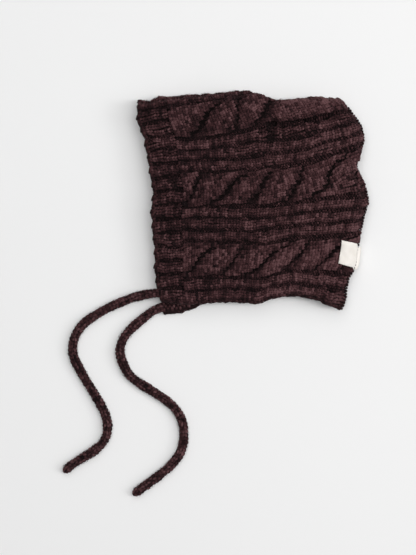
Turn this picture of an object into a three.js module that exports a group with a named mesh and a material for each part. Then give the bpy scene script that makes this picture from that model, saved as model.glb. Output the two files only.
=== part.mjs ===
// A cable-knit baby bonnet lying on its side: two knitted layers joined by the crown fold and the back
// seam, open at the face and at the neck, with a ribbed face band, two knitted cord ties and a label
// wrapped round the back seam.
//
// Millimetres, +Z up. The bonnet lies on Z = 0. +X runs from the face edge to the back seam and +Y from
// the neck edge to the crown fold. The origin is under the middle of the bonnet's own box, ties left out.
// The near layer is the upper one, and the far layer the one that lies on the surface.
import * as THREE from "three";
import { mergeVertices } from "three/addons/utils/BufferGeometryUtils.js";

// ---- Driving dimensions ----
const WALL = 5; // a knitted layer, from the crest of a rib to its inner face
const GAP = 0.4; // between two pieces that meet
const DEPTH = 165; // over the knitting from the face edge to the back seam
const BAND_DEPTH = 22; // of the ribbed face band
const FOLD_RADIUS = 12; // how far from the crown outline the layers start to turn
const SEAM_RADIUS = 13; // the same at the back seam
const EDGE_HEIGHT = 10.5; // of the crown fold and of the back seam above the surface
const TURN_LENGTH = 18.8; // of the quarter turn from a flat layer to the fold or the seam
const RIB_DEPTH = 2; // furrow below crest
const CABLE_RISE = 0.9; // cable crest above rib crest
const CABLE_PITCH = 25; // from one cable crossing to the next
const CABLE_DIP = 1.6; // the diagonal valley between two cable lobes
const BAND_RIBS = 15.5; // on each layer of the face band, the half rib lying on the fold
const TIE_DIAMETER = 6.6;
// The label's two edges by share of the way up the seam, where its legs run by share of the way back, how
// far it stays clear of the knitting, and how far its fold stands off the seam.
const LABEL = {
  from: 0.187, to: 0.289, legs: [0.88, 0.905, 0.932, 0.957], clear: 0.8, thickness: 1, nose: 3.2,
};

const YARN = { color: 0x3a2728, roughness: 0.95, metalness: 0 };
const WOVEN_TAPE = { color: 0xf1ece4, roughness: 0.8, metalness: 0 };

// ---- Outline in plan ----
// Each edge is one smooth curve through its points. The far layer shares the crown and back outlines.
const outline = (rows) => new THREE.CatmullRomCurve3(rows.map(([x, y]) => new THREE.Vector3(x, y, 0)));

const CROWN_EDGE = outline([
  [-85.3, 75.2], [-69.4, 77.6], [-47, 79.5], [-24.5, 81.2], [-6, 82.2], [3, 80.8], [8, 78.4],
  [17.6, 76], [36, 75.4], [52, 75.4], [63.8, 74.6],
]);
const BACK_EDGE = outline([
  [66, -80.3], [68.6, -74], [70.2, -63], [71.9, -56.5], [75.9, -49], [77.9, -38], [79.3, -27],
  [83, -10], [85.6, -0.5], [84, 9], [79.6, 18], [77.2, 28], [80, 37], [82.5, 46], [81, 54.5],
  [76.6, 62.4], [70.2, 70], [63.8, 74.6],
]);
const NEAR = {
  neck: outline([
    [-68.8, -74], [-56, -75.2], [-40, -75.2], [-17, -74], [2.6, -74.6], [14, -72], [24.4, -69.8],
    [34, -70.2], [47, -73], [57, -77], [66, -80.3],
  ]),
  face: outline([
    [-68.8, -74], [-72, -55], [-72.8, -36], [-75, -8], [-73.8, 6], [-77.8, 30], [-81, 48],
    [-85.2, 60], [-85.3, 75.2],
  ]),
};
const FAR = {
  neck: outline([
    [-66.5, -83.8], [-56, -82.4], [-49, -80.4], [-40, -76.8], [-28, -73], [-5, -72.5], [24, -69],
    [47, -72], [57, -76.2], [66, -80.3],
  ]),
  face: outline([
    [-66.5, -83.8], [-70, -55], [-70.6, -36], [-72.6, -8], [-72, 6], [-76, 30], [-79.2, 48],
    [-83.6, 60.5], [-85.3, 75.2],
  ]),
};

// Height of the near layer's rib crests above the surface, by share of the way from face to back.
const LOFT = [
  { depth: 0.0, neck: 15.0, middle: 18.0, crown: 18.0 },
  { depth: 0.14, neck: 16.0, middle: 21.0, crown: 20.5 },
  { depth: 0.4, neck: 17.5, middle: 24.5, crown: 23.5 },
  { depth: 0.7, neck: 17.5, middle: 25.0, crown: 24.0 },
  { depth: 0.9, neck: 16.0, middle: 22.5, crown: 22.0 },
  { depth: 1.0, neck: 14.5, middle: 20.0, crown: 20.0 },
];
// Dents and folds of the near layer: where, how long and wide (half widths), how deep and which way.
const DENTS = [
  { x: 15, y: 54, long: 16, wide: 6, deep: 3.2, turn: 8 }, // where the crown cable buckles
  { x: 48, y: 59, long: 22, wide: 4, deep: 2.4, turn: 10 }, // crease under the crown at the back
  { x: 70, y: 30, long: 12, wide: 6, deep: 2.2, turn: 25 }, // behind the waist of the back outline
  { x: -52, y: 52, long: 14, wide: 7, deep: 1.2, turn: -10 }, // behind the face band
  { x: -2, y: -72, long: 20, wide: 8, deep: 1.5, turn: 0 }, // slack in the neck edge
];
// Where the label presses the far layer in from below.
const PRESSED = [{ x: 67, y: -39.5, long: 20, wide: 15, deep: 3.9, turn: -8 }];
// Knitting of one layer from the neck edge to the fold: where each panel ends, as a share of the way
// round, behind the face band, halfway back and at the seam. It is pulled over the fold towards the seam.
const PANELS = [
  { kind: "ribs", count: 2, front: 0.11, middle: 0.103, seam: 0.165 },
  { kind: "cable", count: 1, front: 0.285, middle: 0.262, seam: 0.35 },
  { kind: "ribs", count: 3, front: 0.44, middle: 0.428, seam: 0.505 },
  { kind: "cable", count: 1, front: 0.605, middle: 0.592, seam: 0.745 },
  { kind: "ribs", count: 3, front: 0.755, middle: 0.765, seam: 0.895 },
  { kind: "cable", count: 1, front: 0.915, middle: 0.95, seam: 0.98 },
  { kind: "ribs", count: 1.5, front: 1, middle: 1, seam: 1 },
];
const BAND_PANELS = [{ kind: "ribs", count: BAND_RIBS, front: 1, middle: 1, seam: 1 }];

// Routes of the ties, from the face band to the free end.
const TIE_RADIUS = TIE_DIAMETER / 2;
const NEAR_TIE = [
  [-72, -68.2, 11.8], [-77.3, -68.8, 11], [-87.6, -71.1, 7.6], [-98, -74.9, 4.6], [-107.1, -78.9, 3.4],
  [-116.3, -84.1, TIE_RADIUS], [-124.4, -89.3, TIE_RADIUS], [-130.1, -95.6, TIE_RADIUS],
  [-133.5, -102.5, TIE_RADIUS], [-134.6, -110, TIE_RADIUS], [-133.5, -117.4, TIE_RADIUS],
  [-129.5, -124.9, TIE_RADIUS], [-124.4, -134, TIE_RADIUS], [-118.6, -143.3, TIE_RADIUS],
  [-113.4, -152.4, TIE_RADIUS], [-109.7, -160.4, TIE_RADIUS], [-108.5, -168.5, TIE_RADIUS],
  [-110, -176.5, TIE_RADIUS], [-114.6, -182.9, TIE_RADIUS], [-121.4, -188, TIE_RADIUS],
  [-128.9, -192.6, TIE_RADIUS], [-135.8, -197.2, TIE_RADIUS], [-140.6, -201.4, TIE_RADIUS],
];
const FAR_TIE = [
  [-69.6, -79.4], [-73.8, -81.2], [-81.8, -87], [-88.7, -92.7], [-95, -99.6], [-98.5, -106.5],
  [-99.1, -113.9], [-96.8, -121.4], [-92.2, -129.5], [-85.3, -135.2], [-77.3, -140.3], [-69.2, -145.5],
  [-61.2, -151.3], [-55.4, -158.2], [-52.2, -166.1], [-51.5, -174.8], [-52.6, -183.4], [-56, -190.9],
  [-62.3, -198.4], [-70.4, -205.1], [-78.4, -211], [-84.2, -215], [-88.5, -218.6],
].map(([x, y]) => [x, y, TIE_RADIUS]);

// ---- Shape of a layer ----
const mix = THREE.MathUtils.lerp;
const smooth = (x) => THREE.MathUtils.smoothstep(x, 0, 1);

// The point of one layer's plan at a share of the way back and up: a Coons patch of its four edges.
function patch(layer, back, up) {
  const neck = layer.neck.getPointAt(back);
  const crown = CROWN_EDGE.getPointAt(back);
  const face = layer.face.getPointAt(up);
  const seam = BACK_EDGE.getPointAt(up);
  const ruled = neck.lerp(crown, up).add(face.lerp(seam, back));
  const low = layer.neck.getPointAt(0).lerp(layer.neck.getPointAt(1), back);
  const high = CROWN_EDGE.getPointAt(0).lerp(CROWN_EDGE.getPointAt(1), back);
  return ruled.sub(low.lerp(high, up));
}

// The plan between the two layers, from the far one at 0 to the near one at 1.
const plan = (between, back, up) => patch(FAR, back, up).lerp(patch(NEAR, back, up), between);

// Crest height of the near layer.
function loft(back, up) {
  const next = Math.max(1, LOFT.findIndex((row) => row.depth >= back));
  const [a, b] = [LOFT[next - 1], LOFT[next]];
  const t = smooth((back - a.depth) / (b.depth - a.depth));
  const [neck, middle, crown] = ["neck", "middle", "crown"].map((k) => mix(a[k], b[k], t));
  return up < 0.45 ? mix(neck, middle, smooth(up / 0.45)) : mix(middle, crown, smooth((up - 0.45) / 0.45));
}

// How far some dents take a layer in at a point of the plan.
function dent(dents, x, y) {
  let depth = 0;
  for (const d of dents) {
    const turn = THREE.MathUtils.degToRad(d.turn);
    const along = (x - d.x) * Math.cos(turn) + (y - d.y) * Math.sin(turn);
    const across = (y - d.y) * Math.cos(turn) - (x - d.x) * Math.sin(turn);
    depth += d.deep * Math.exp(-((along / d.long) ** 2) - (across / d.wide) ** 2);
  }
  return depth;
}

// A share of the way along a layer of that plan length, which turns down at its closed end: how far
// that is from the end in plan, and how much of the layer's height is left there, from 0 to 1.
function turned(share, length, radius) {
  const at = share * (length - radius + TURN_LENGTH);
  if (at <= length - radius) return { inset: length - at, lift: 1 };
  const angle = ((at - length + radius) / TURN_LENGTH) * (Math.PI / 2);
  return { inset: radius * (1 - Math.sin(angle)), lift: Math.max(0, Math.cos(angle)) };
}

// A point of the smooth skin. back and round are shares of the way over the knitting from the face to
// the seam, and from the neck to the fold; inward is how far inside the crests the skin lies.
function skin(side, back, round, inward) {
  const middle = 0.5;
  const tall = plan(middle, back, 1).distanceTo(plan(middle, back, 0));
  const fold = turned(round, tall - inward, FOLD_RADIUS - inward);
  const seam = turned(back, DEPTH - inward, SEAM_RADIUS - inward);
  const lift = fold.lift * seam.lift;
  const between = side === "near" ? middle * (1 + lift) : middle * (1 - lift);
  const point = plan(between, 1 - (seam.inset + inward) / DEPTH, 1 - (fold.inset + inward) / tall);
  const near = loft(back, round) - dent(DENTS, point.x, point.y) - inward;
  const far = dent(PRESSED, point.x, point.y) + inward;
  point.z = mix(EDGE_HEIGHT, side === "near" ? near : far, lift);
  return point;
}

// The same point, moved out from the skin by a distance.
function above(side, back, round, distance) {
  const step = 1e-3;
  const [behind, ahead] = [Math.max(0, back - step), Math.min(1, back + step)];
  const [below, over] = [Math.max(0, round - step), Math.min(1, round + step)];
  const forward = skin(side, ahead, round, 0).sub(skin(side, behind, round, 0));
  const upward = skin(side, back, over, 0).sub(skin(side, back, below, 0));
  const out = forward.cross(upward).normalize();
  if (side === "far") out.negate();
  return skin(side, back, round, 0).addScaledVector(out, distance);
}

// ---- Knitted relief ----
// Where a panel ends at a share of the way back.
function end(panel, back) {
  const FRONT = 0.13;
  const MIDDLE = 0.5;
  if (back < MIDDLE) return mix(panel.front, panel.middle, Math.max(0, back - FRONT) / (MIDDLE - FRONT));
  return mix(panel.middle, panel.seam, (back - MIDDLE) / (1 - MIDDLE));
}

// Height of the knitting against the crest at a share of the way back and a share of the way round.
function relief(panels, back, round) {
  const i = panels.findIndex((panel) => round <= end(panel, back) + 1e-9);
  const start = i > 0 ? end(panels[i - 1], back) : 0;
  const panel = panels[i];
  const at = (round - start) / (end(panel, back) - start);
  if (panel.kind === "ribs") return -RIB_DEPTH * (1 - Math.abs(Math.sin(Math.PI * at * panel.count)));
  const dome = Math.sqrt(Math.sin(Math.PI * Math.min(1, Math.max(0, at))));
  const twist = 0.5 - 0.5 * Math.cos(2 * Math.PI * ((back * DEPTH) / CABLE_PITCH - at));
  return mix(-RIB_DEPTH, CABLE_RISE - CABLE_DIP * twist, dome);
}

// The outer skin with its relief, which fades where the layer is pressed flat or runs into the seam.
function knitted(side, back, round, panels) {
  const pressed = side === "far" ? smooth(skin(side, back, round, 0).z / EDGE_HEIGHT) : 1;
  const fade = smooth((1 - back) / 0.1);
  return above(side, back, round, relief(panels, back, round) * pressed * fade);
}

// ---- Solids ----
function meshOf(name, geometry, look) {
  const mesh = new THREE.Mesh(geometry, new THREE.MeshStandardMaterial(look));
  mesh.name = name;
  return mesh;
}

// A closed wall between an outer and an inner grid of points, each a list of rows of the same length.
// closed says that the last row is a seam, where the two halves of a row fall on each other.
function wall(outer, inner, closed) {
  const positions = [];
  const quad = (a, b, c, d) => positions.push(a, b, c, a, c, d);
  const last = outer.length - 1;
  const width = outer[0].length - 1;
  for (let i = 0; i < last; i++) {
    for (let k = 0; k < width; k++) {
      quad(outer[i][k], outer[i + 1][k], outer[i + 1][k + 1], outer[i][k + 1]);
      quad(inner[i][k], inner[i][k + 1], inner[i + 1][k + 1], inner[i + 1][k]);
    }
    quad(outer[i][0], inner[i][0], inner[i + 1][0], outer[i + 1][0]);
    quad(outer[i][width], outer[i + 1][width], inner[i + 1][width], inner[i][width]);
  }
  for (let k = 0; k < width; k++) {
    quad(outer[0][k], outer[0][k + 1], inner[0][k + 1], inner[0][k]);
    if (!closed) quad(outer[last][k], inner[last][k], inner[last][k + 1], outer[last][k + 1]);
  }
  const flat = new THREE.BufferGeometry().setFromPoints(positions);
  const merged = mergeVertices(flat, 1e-4);
  return withoutSlivers(merged);
}

// Drops the faces that merging has left with two corners in one place.
function withoutSlivers(geometry) {
  const index = geometry.index.array;
  const kept = [];
  for (let i = 0; i < index.length; i += 3) {
    const [a, b, c] = index.slice(i, i + 3);
    if (a !== b && b !== c && c !== a) kept.push(a, b, c);
  }
  geometry.setIndex(kept);
  geometry.computeVertexNormals();
  return geometry;
}

// The shares of the way round at which a layer with these panels is sampled.
function samples(panels, back) {
  const CABLE_STEPS = 5;
  const shares = [0];
  let start = 0;
  for (const panel of panels) {
    const steps = panel.kind === "ribs" ? 2 * panel.count : CABLE_STEPS;
    for (let i = 1; i <= steps; i++) shares.push(mix(start, end(panel, back), i / steps));
    start = end(panel, back);
  }
  return shares;
}

// The knitting between two shares of the way back: over the near layer, round the fold and under.
function knittedWall(from, to, stations, panels) {
  const outer = [];
  const inner = [];
  for (let i = 0; i <= stations; i++) {
    const back = mix(from, to, i / stations);
    const shares = samples(panels, back);
    const around = [
      ...shares.map((round) => ["near", round]),
      ...shares.slice(0, -1).reverse().map((round) => ["far", round]),
    ];
    outer.push(around.map(([side, round]) => knitted(side, back, round, panels)));
    inner.push(around.map(([side, round]) => skin(side, back, round, WALL)));
  }
  return wall(outer, inner, to === 1);
}

// A tube along a route.
function tie(route) {
  const SIDES = 10;
  const path = new THREE.CatmullRomCurve3(route.map((p) => new THREE.Vector3(...p)));
  const ring = new THREE.Shape();
  for (let i = 0; i < SIDES; i++) {
    const angle = (2 * Math.PI * i) / SIDES;
    const [x, y] = [TIE_RADIUS * Math.cos(angle), TIE_RADIUS * Math.sin(angle)];
    if (i === 0) ring.moveTo(x, y);
    else ring.lineTo(x, y);
  }
  const steps = Math.round(path.getLength() / (2 * TIE_DIAMETER));
  return new THREE.ExtrudeGeometry(ring, { steps, extrudePath: path, bevelEnabled: false });
}

// The label: a tape folded over the back seam, with a leg along each layer.
function label() {
  const { from, to, legs, clear, thickness, nose } = LABEL;
  const ACROSS = 4;
  const surface = (distance) => {
    const leg = (side) => (back) => (round) => above(side, back, round, distance);
    const turn = (out, rise) => (round) => {
      const seam = BACK_EDGE.getPointAt(round);
      return seam.add(new THREE.Vector3(out, 0, EDGE_HEIGHT + rise));
    };
    const reach = nose - thickness + distance - clear;
    const rows = [
      ...legs.map(leg("near")),
      turn(reach - 1, distance + 0.6),
      turn(reach, 0),
      turn(reach - 1, -distance - 0.6),
      ...[...legs].reverse().map(leg("far")),
    ];
    return rows.map((row) => Array.from({ length: ACROSS + 1 }, (_, k) => row(mix(from, to, k / ACROSS))));
  };
  return wall(surface(clear + thickness), surface(clear), false);
}

const BAND_END = BAND_DEPTH / DEPTH;
const bonnet = new THREE.Group();
bonnet.add(meshOf("face_band", knittedWall(0, BAND_END, 4, BAND_PANELS), YARN));
bonnet.add(meshOf("crown", knittedWall(BAND_END + GAP / DEPTH, 1, 24, PANELS), YARN));
bonnet.add(meshOf("label", label(), WOVEN_TAPE));

// The origin goes under the middle of the bonnet, before the ties are added.
const middle = new THREE.Box3().setFromObject(bonnet).getCenter(new THREE.Vector3());
bonnet.add(meshOf("near_tie", tie(NEAR_TIE), YARN));
bonnet.add(meshOf("far_tie", tie(FAR_TIE), YARN));
for (const piece of bonnet.children) piece.geometry.translate(-middle.x, -middle.y, 0);

export default bonnet;
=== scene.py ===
import math

import bpy
import numpy as np
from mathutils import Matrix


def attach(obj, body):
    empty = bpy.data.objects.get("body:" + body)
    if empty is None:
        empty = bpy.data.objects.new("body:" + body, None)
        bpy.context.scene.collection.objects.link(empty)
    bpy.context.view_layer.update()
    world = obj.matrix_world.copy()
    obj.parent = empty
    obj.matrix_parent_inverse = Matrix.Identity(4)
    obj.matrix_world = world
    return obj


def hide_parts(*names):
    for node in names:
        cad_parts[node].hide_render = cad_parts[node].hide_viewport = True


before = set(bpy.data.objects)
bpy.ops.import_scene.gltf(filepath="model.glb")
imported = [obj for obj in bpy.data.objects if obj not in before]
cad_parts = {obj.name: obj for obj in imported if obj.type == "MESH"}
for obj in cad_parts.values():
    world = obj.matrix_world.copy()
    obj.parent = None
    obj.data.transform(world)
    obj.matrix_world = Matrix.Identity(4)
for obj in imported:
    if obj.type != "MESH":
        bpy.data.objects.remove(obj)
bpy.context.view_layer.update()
rng = np.random.default_rng(7)
MM = 0.001

# ---- Camera: straight above, as the photograph looks down on the folded bonnet ----
SHIFT = np.array([-0.03, 0.777, 0.0])  # from the axes of the outline's points to the frame's
VIEW_CENTRE = (-33.4, -55.8)
VIEW_HEIGHT = 416.25  # what the frame's long side shows on the surface
CAMERA_HEIGHT = 1500.0

camera = bpy.data.objects.new("camera", bpy.data.cameras.new("camera"))
bpy.context.scene.collection.objects.link(camera)
camera.data.sensor_width = 36.0
camera.data.lens = 36.0 * CAMERA_HEIGHT / VIEW_HEIGHT
camera.location = (VIEW_CENTRE[0] * MM, VIEW_CENTRE[1] * MM, CAMERA_HEIGHT * MM)
camera.data.clip_end = 20.0
bpy.context.scene.camera = camera


# ---- Meshes from arrays ----
def mesh_object(name, verts, quads=(), tris=(), tone=None):
    """A smooth-shaded mesh of points in millimetres. tone is a number a point, which its material reads."""
    verts = np.asarray(verts, float).reshape(-1, 3)
    quads = np.asarray(quads, int).reshape(-1, 4)
    tris = np.asarray(tris, int).reshape(-1, 3)
    mesh = bpy.data.meshes.new(name)
    mesh.vertices.add(len(verts))
    mesh.vertices.foreach_set("co", (verts * MM).astype(np.float32).ravel())
    mesh.loops.add(quads.size + tris.size)
    corners = np.concatenate([quads.ravel(), tris.ravel()])
    mesh.loops.foreach_set("vertex_index", corners.astype(np.int32))
    starts = np.concatenate([np.arange(len(quads)) * 4, quads.size + np.arange(len(tris)) * 3])
    mesh.polygons.add(len(starts))
    mesh.polygons.foreach_set("loop_start", starts.astype(np.int32))
    mesh.polygons.foreach_set("use_smooth", np.ones(len(starts), bool))
    mesh.update(calc_edges=True)
    if tone is not None:
        layer = mesh.attributes.new("tone", "FLOAT", "POINT")
        layer.data.foreach_set("value", np.asarray(tone, np.float32).ravel())
    piece = bpy.data.objects.new(name, mesh)
    bpy.context.scene.collection.objects.link(piece)
    return piece


def wall(name, outer, inner, tones):
    """A closed wall between two grids of points, with a tone for each of the two faces."""
    verts = np.concatenate([outer.reshape(-1, 3), inner.reshape(-1, 3)])
    idx = np.arange(len(verts) // 2).reshape(outer.shape[:2])
    off = idx.size
    a, b, c, d = idx[:-1, :-1], idx[1:, :-1], idx[1:, 1:], idx[:-1, 1:]
    quads = [np.stack([a, b, c, d], -1).reshape(-1, 4), np.stack([a, d, c, b], -1).reshape(-1, 4) + off]
    for edge, flip in ((idx[0, :], False), (idx[:, 0], True), (idx[:, -1], False), (idx[-1, :], True)):
        p, q = edge[:-1], edge[1:]
        face = np.stack([p, q, q + off, p + off], -1)
        quads.append(face[:, ::-1] if flip else face)
    return mesh_object(name, verts, np.concatenate(quads), (), np.repeat(tones, off))


def unit(v):
    return v / np.maximum(np.linalg.norm(v, axis=-1, keepdims=True), 1e-9)


def strands(path, up, radius, sides):
    """Closed tubes along many short paths at once. path and up are (tubes, rings, 3), radius (tubes, rings).
    The first and last ring of each are a point, so a tube is closed there."""
    count, rings, _ = path.shape
    along = unit(np.gradient(path, axis=1))
    out = unit(np.cross(along, up))
    top = np.cross(out, along)
    angle = 2 * np.pi * (np.arange(sides) + 0.5) / sides
    ring = (
        top[:, 1:-1, None] * np.cos(angle)[None, None, :, None]
        + out[:, 1:-1, None] * np.sin(angle)[None, None, :, None]
    )
    body = path[:, 1:-1, None] + ring * radius[:, 1:-1, None, None]
    block = (rings - 2) * sides + 2
    verts = np.concatenate([path[:, :1], body.reshape(count, -1, 3), path[:, -1:]], axis=1)
    k = np.arange(sides)
    n = (k + 1) % sides
    quads = []
    for i in range(rings - 3):
        a = 1 + i * sides
        quads.append(np.stack([a + k, a + sides + k, a + sides + n, a + n], -1))
    last = 1 + (rings - 3) * sides
    tris = np.concatenate(
        [
            np.stack([np.zeros(sides, int), 1 + k, 1 + n], -1),
            np.stack([last + k, np.full(sides, block - 1), last + n], -1),
        ]
    )
    base = np.arange(count)[:, None, None] * block
    quads = (np.concatenate(quads)[None] + base).reshape(-1, 4)
    tris = (tris[None] + base).reshape(-1, 3)
    return verts, quads, tris, block


TUCK_SHADE = 0.6  # painted shade: how much darker a loop is made where its ends tuck under the next one


class Heap:
    """Tubes gathered into one mesh."""

    def __init__(self):
        self.parts = []
        self.size = 0

    def add(self, path, up, radius, sides, tone, floor=0.08):
        verts, quads, tris, block = strands(path, up, radius, sides)
        z = verts[..., 2]
        verts[..., 2] = np.where(z < floor, floor + 0.04 * np.tanh(z - floor), z)
        # painted shade on the end rings of every tube
        tuck_shade = np.zeros(block)
        tuck_shade[[0, -1]] = -TUCK_SHADE
        tuck_shade[1 : 1 + sides] = tuck_shade[-1 - sides : -1] = -0.6 * TUCK_SHADE
        tones = np.asarray(tone, float).reshape(-1, 1) + tuck_shade[None]
        self.parts.append((verts.reshape(-1, 3), quads + self.size, tris + self.size, tones.ravel()))
        self.size += len(path) * block

    def build(self, name):
        verts, quads, tris, tones = (np.concatenate([p[i] for p in self.parts]) for i in range(4))
        return mesh_object(name, verts, quads, tris, tones)


def noise(shape, cell, seed):
    """Smooth seeded noise from -1 to 1 over a grid, with features of that many cells."""
    r = np.random.default_rng(seed)
    grid = [max(2, int(math.ceil(n / c)) + 2) for n, c in zip(shape, cell)]
    coarse = r.uniform(-1, 1, grid)
    x = np.arange(shape[0]) / cell[0]
    y = np.arange(shape[1]) / cell[1]
    xi, yi = x.astype(int), y.astype(int)
    fx = (x - xi)[:, None]
    fy = (y - yi)[None, :]
    fx = fx * fx * (3 - 2 * fx)
    fy = fy * fy * (3 - 2 * fy)

    def corner(i, j):
        return coarse[np.minimum(xi + i, grid[0] - 1)][:, np.minimum(yi + j, grid[1] - 1)]

    low = corner(0, 0) * (1 - fx) + corner(1, 0) * fx
    high = corner(0, 1) * (1 - fx) + corner(1, 1) * fx
    return low * (1 - fy) + high * fy


# ---- Shape of the folded bonnet, in millimetres ----
DEPTH = 165.0  # from the face edge to the back seam, seen from above
TURN_LENGTH = 18.8  # of the knitting round half of the fold or the seam
FOLD_RADIUS = 12.0
SEAM_RADIUS = 13.0
ARC = DEPTH - SEAM_RADIUS + TURN_LENGTH  # over the knitting from the face edge to the back seam
BAND_DEPTH = 22.0
EDGE_HEIGHT = 10.5
WALL = 5.0

CROWN_EDGE = [
    (-85.3, 75.2), (-69.4, 77.6), (-47, 79.5), (-24.5, 81.2), (-6, 82.2), (3, 80.8), (8, 78.4),
    (17.6, 76), (36, 75.4), (52, 75.4), (63.8, 74.6),
]
BACK_EDGE = [
    (66, -80.3), (68.6, -74), (70.2, -63), (71.9, -56.5), (75.9, -49), (77.9, -38), (79.3, -27),
    (83, -10), (85.6, -0.5), (84, 9), (79.6, 18), (77.2, 28), (80, 37), (82.5, 46), (81, 54.5),
    (76.6, 62.4), (70.2, 70), (63.8, 74.6),
]
NEAR_NECK = [
    (-68.8, -74), (-56, -75.2), (-40, -75.2), (-17, -74), (2.6, -74.6), (14, -72), (24.4, -69.8),
    (34, -70.2), (47, -73), (57, -77), (66, -80.3),
]
NEAR_FACE = [
    (-68.8, -74), (-72, -55), (-72.8, -36), (-75, -8), (-73.8, 6), (-77.8, 30), (-81, 48),
    (-85.2, 60), (-85.3, 75.2),
]
FAR_NECK = [
    (-66.5, -83.8), (-56, -82.4), (-49, -80.4), (-40, -76.8), (-28, -73), (-5, -72.5), (24, -69),
    (47, -72), (57, -76.2), (66, -80.3),
]
FAR_FACE = [
    (-66.5, -83.8), (-70, -55), (-70.6, -36), (-72.6, -8), (-72, 6), (-76, 30), (-79.2, 48),
    (-83.6, 60.5), (-85.3, 75.2),
]
# Crest height of the near layer: share of the way back, at the neck edge, in the middle, at the crown
LOFT = [
    (0.0, 15.0, 18.0, 18.0), (0.14, 16.0, 21.0, 20.5), (0.4, 17.5, 24.5, 23.5),
    (0.7, 17.5, 25.0, 24.0), (0.9, 16.0, 22.5, 22.0), (1.0, 14.5, 20.0, 20.0),
]
# Dents: x, y, half length, half width, depth, turn in degrees
DENTS = [
    (15, 54, 16, 6, 3.2, 8), (48, 59, 22, 4, 2.4, 10), (70, 30, 12, 6, 2.2, 25),
    (-52, 52, 14, 7, 1.2, -10), (-2, -72, 20, 8, 1.5, 0),
]
CRUMPLES = [(38, 60.8, 26, 2.3, 3.0, 4), (13.9, 54.5, 8, 3.0, 3.0, 80), (26, 50, 14, 1.8, 1.6, 9)]
PRESSED = [(67, -39.5, 20, 15, 3.9, -8)]


def spline(points, per=60):
    """A centripetal Catmull-Rom curve through the points, as shares of its length and points."""
    p = np.array(points, float)
    p = np.vstack([2 * p[0] - p[1], p, 2 * p[-1] - p[-2]])
    out = []
    for i in range(1, len(p) - 2):
        a, b, c, d = p[i - 1 : i + 3]
        t0, t1, t2 = (math.sqrt(np.linalg.norm(q)) for q in (b - a, c - b, d - c))
        m1 = ((b - a) / t0 - (c - a) / (t0 + t1) + (c - b) / t1) * t1
        m2 = ((c - b) / t1 - (d - b) / (t1 + t2) + (d - c) / t2) * t1
        t = np.linspace(0, 1, per, endpoint=False)[:, None]
        out.append(b + m1 * t + (-3 * b + 3 * c - 2 * m1 - m2) * t**2 + (2 * b - 2 * c + m1 + m2) * t**3)
    out = np.vstack(out + [p[-2:-1]])
    s = np.concatenate([[0], np.cumsum(np.linalg.norm(np.diff(out, axis=0), axis=1))])
    return s / s[-1], out, s[-1]


def at(line, t):
    return np.stack([np.interp(t, line[0], line[1][:, k]) for k in range(line[1].shape[1])], -1)


crown_edge, back_edge, near_neck, near_face, far_neck, far_face = map(
    spline, (CROWN_EDGE, BACK_EDGE, NEAR_NECK, NEAR_FACE, FAR_NECK, FAR_FACE)
)


def patch(neck, face, back, up):
    """A point of the sheet between four edges, at shares of the way back and up."""
    b, u = back[..., None], up[..., None]
    ruled = at(neck, back) * (1 - u) + at(crown_edge, back) * u
    ruled = ruled + at(face, up) * (1 - b) + at(back_edge, up) * b
    low = neck[1][0] * (1 - b) + neck[1][-1] * b
    high = crown_edge[1][0] * (1 - b) + crown_edge[1][-1] * b
    return ruled - low * (1 - u) - high * u


def plan(between, back, up):
    """The same between the outlines of the far layer, at 0, and of the near one, at 1."""
    f = between[..., None]
    return patch(far_neck, far_face, back, up) * (1 - f) + patch(near_neck, near_face, back, up) * f


def smooth(x):
    """A soft step from 0 to 1."""
    x = np.clip(x, 0, 1)
    return x * x * (3 - 2 * x)


def loft(back, up):
    """Height of the near layer over the surface."""
    rows = np.array(LOFT)
    i = np.clip(np.searchsorted(rows[:, 0], back), 1, len(rows) - 1)
    t = smooth((back - rows[i - 1, 0]) / (rows[i, 0] - rows[i - 1, 0]))
    neck, middle, crown = (rows[i - 1, k] * (1 - t) + rows[i, k] * t for k in (1, 2, 3))
    low = neck + (middle - neck) * smooth(up / 0.45)
    high = middle + (crown - middle) * smooth((up - 0.45) / 0.45)
    return np.where(up < 0.45, low, high)


def dent(dents, x, y):
    depth = np.zeros_like(x)
    for dx, dy, long, wide, deep, turn in dents:
        c, s = math.cos(math.radians(turn)), math.sin(math.radians(turn))
        along = (x - dx) * c + (y - dy) * s
        across = (y - dy) * c - (x - dx) * s
        depth += deep * np.exp(-((along / long) ** 2) - (across / wide) ** 2)
    return depth


def turned(share, length, radius):
    """Distance from an edge and lift from 1 to 0, for a sheet that turns over that edge with the radius."""
    s = share * (length - radius + TURN_LENGTH)
    angle = np.clip((s - length + radius) / TURN_LENGTH, 0, 1) * np.pi / 2
    flat = s <= length - radius
    distance = np.where(flat, length - s, radius * (1 - np.sin(angle)))
    return distance, np.where(flat, 1.0, np.maximum(0, np.cos(angle)))


def skin(back, around, inward=0.0):
    """A point of the skin. around goes from 0 at the near neck edge over 1 at the fold to 2 at the far."""
    back, around = np.broadcast_arrays(np.asarray(back, float), np.asarray(around, float))
    near = around <= 1
    rnd = np.where(near, around, 2 - around)
    half = np.full(back.shape, 0.5)
    upright = plan(half, back, np.ones_like(back)) - plan(half, back, np.zeros_like(back))
    tall = np.linalg.norm(upright, axis=-1)
    fold_in, fold_lift = turned(rnd, tall - inward, FOLD_RADIUS - inward)
    seam_in, seam_lift = turned(back, DEPTH - inward, SEAM_RADIUS - inward)
    lift = fold_lift * seam_lift
    between = np.where(near, 0.5 * (1 + lift), 0.5 * (1 - lift))
    p = plan(between, 1 - (seam_in + inward) / DEPTH, 1 - (fold_in + inward) / tall)
    high = loft(back, rnd) - dent(DENTS + CRUMPLES, p[..., 0], p[..., 1]) - inward
    low = dent(PRESSED, p[..., 0], p[..., 1]) + inward
    z = EDGE_HEIGHT + (np.where(near, high, low) - EDGE_HEIGHT) * lift
    return np.concatenate([p, z[..., None]], -1) + SHIFT


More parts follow.
